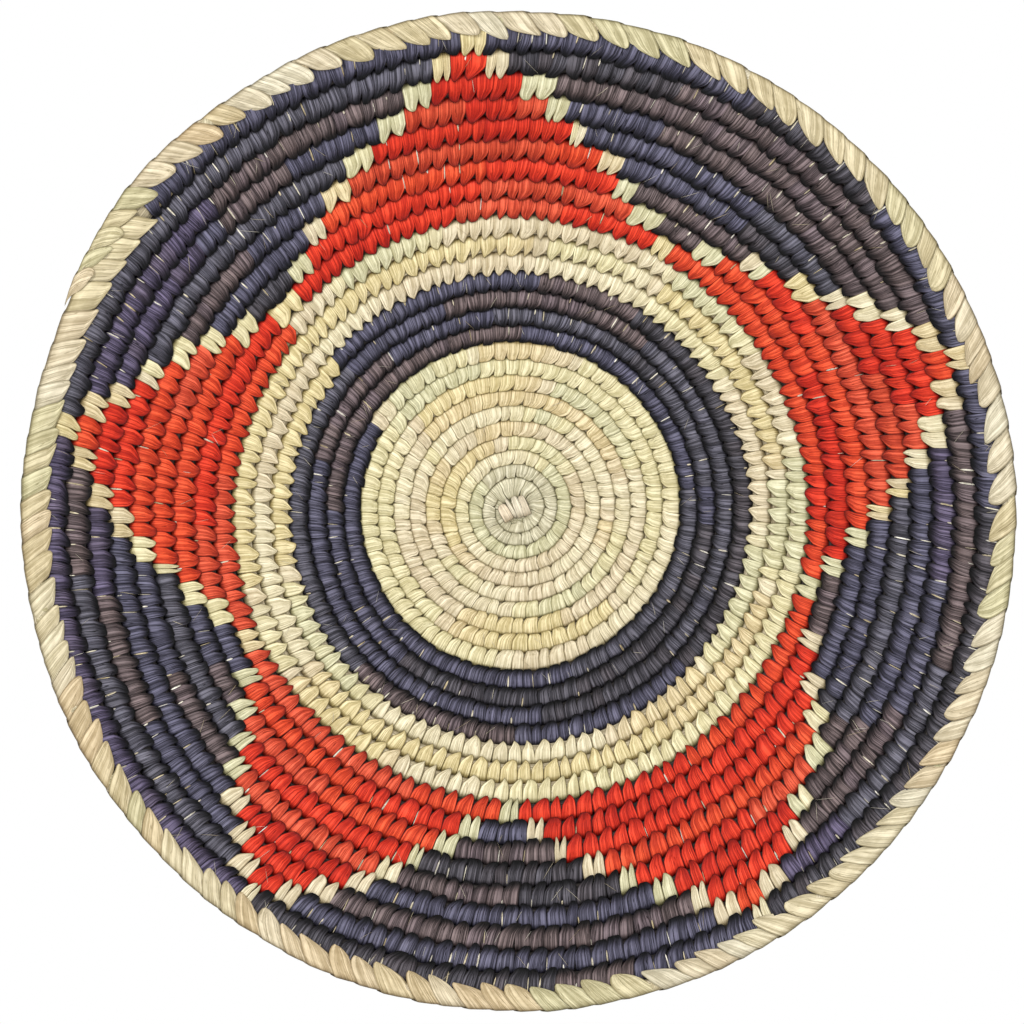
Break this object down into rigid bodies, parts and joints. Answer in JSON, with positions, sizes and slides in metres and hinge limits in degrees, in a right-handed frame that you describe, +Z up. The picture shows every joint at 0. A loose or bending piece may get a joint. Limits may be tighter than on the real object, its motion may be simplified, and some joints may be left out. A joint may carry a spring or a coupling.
{
  "type": "coiled wall basket",
  "caption": "Shallow round coiled wall basket of leaf strips, with a pointed star, dark and pale rings and a pale false-braid rim.",
  "frame": {"origin": "centre of the flat back, on the axis of the coil, where the basket lies against the wall", "axes": "+X to the right and +Z up the wall as the picture shows the front; the front faces -Y and the flat back faces +Y"},
  "size_m": [0.3978, 0.0422, 0.3999],
  "materials": {
    "pale_leaf": "undyed split leaf, matt with a slight sheen",
    "green_leaf": "undyed grey-green split leaf, matt with a slight sheen",
    "knot_leaf": "undyed pinkish split leaf, matt with a slight sheen",
    "dark_leaf": "split leaf dyed navy to dark brown, slight sheen",
    "red_leaf": "split leaf dyed orange-red, slight sheen",
    "braid_leaf": "wide undyed leaf strips, matt with a slight sheen",
    "leaf_fibre": "dry leaf fibre bundle, matt"
  },
  "bodies": {
    "root": {"start_knot": "knot_leaf", "start_coil": "green_leaf", "foundation_coil": "leaf_fibre", "rim_bundle": "leaf_fibre", "centre_wrap": "pale_leaf", "pale_ring_wrap": "pale_leaf", "valley_block_1": "pale_leaf", "valley_block_2": "pale_leaf", "valley_block_3": "pale_leaf", "valley_block_4": "pale_leaf", "valley_block_5": "pale_leaf", "tip_block_1": "pale_leaf", "tip_block_2": "pale_leaf", "tip_block_3": "pale_leaf", "tip_block_4": "pale_leaf", "tip_block_5": "pale_leaf", "dark_ring_wrap": "dark_leaf", "dark_field_1": "dark_leaf", "dark_field_2": "dark_leaf", "dark_field_3": "dark_leaf", "dark_field_4": "dark_leaf", "dark_field_5": "dark_leaf", "edge_wrap_1": "dark_leaf", "edge_wrap_2": "dark_leaf", "edge_wrap_3": "dark_leaf", "edge_wrap_4": "dark_leaf", "edge_wrap_5": "dark_leaf", "star_point_1": "red_leaf", "star_point_2": "red_leaf", "star_point_3": "red_leaf", "star_point_4": "red_leaf", "star_point_5": "red_leaf", "rim_braid": "braid_leaf"}
  },
  "joints": []
}
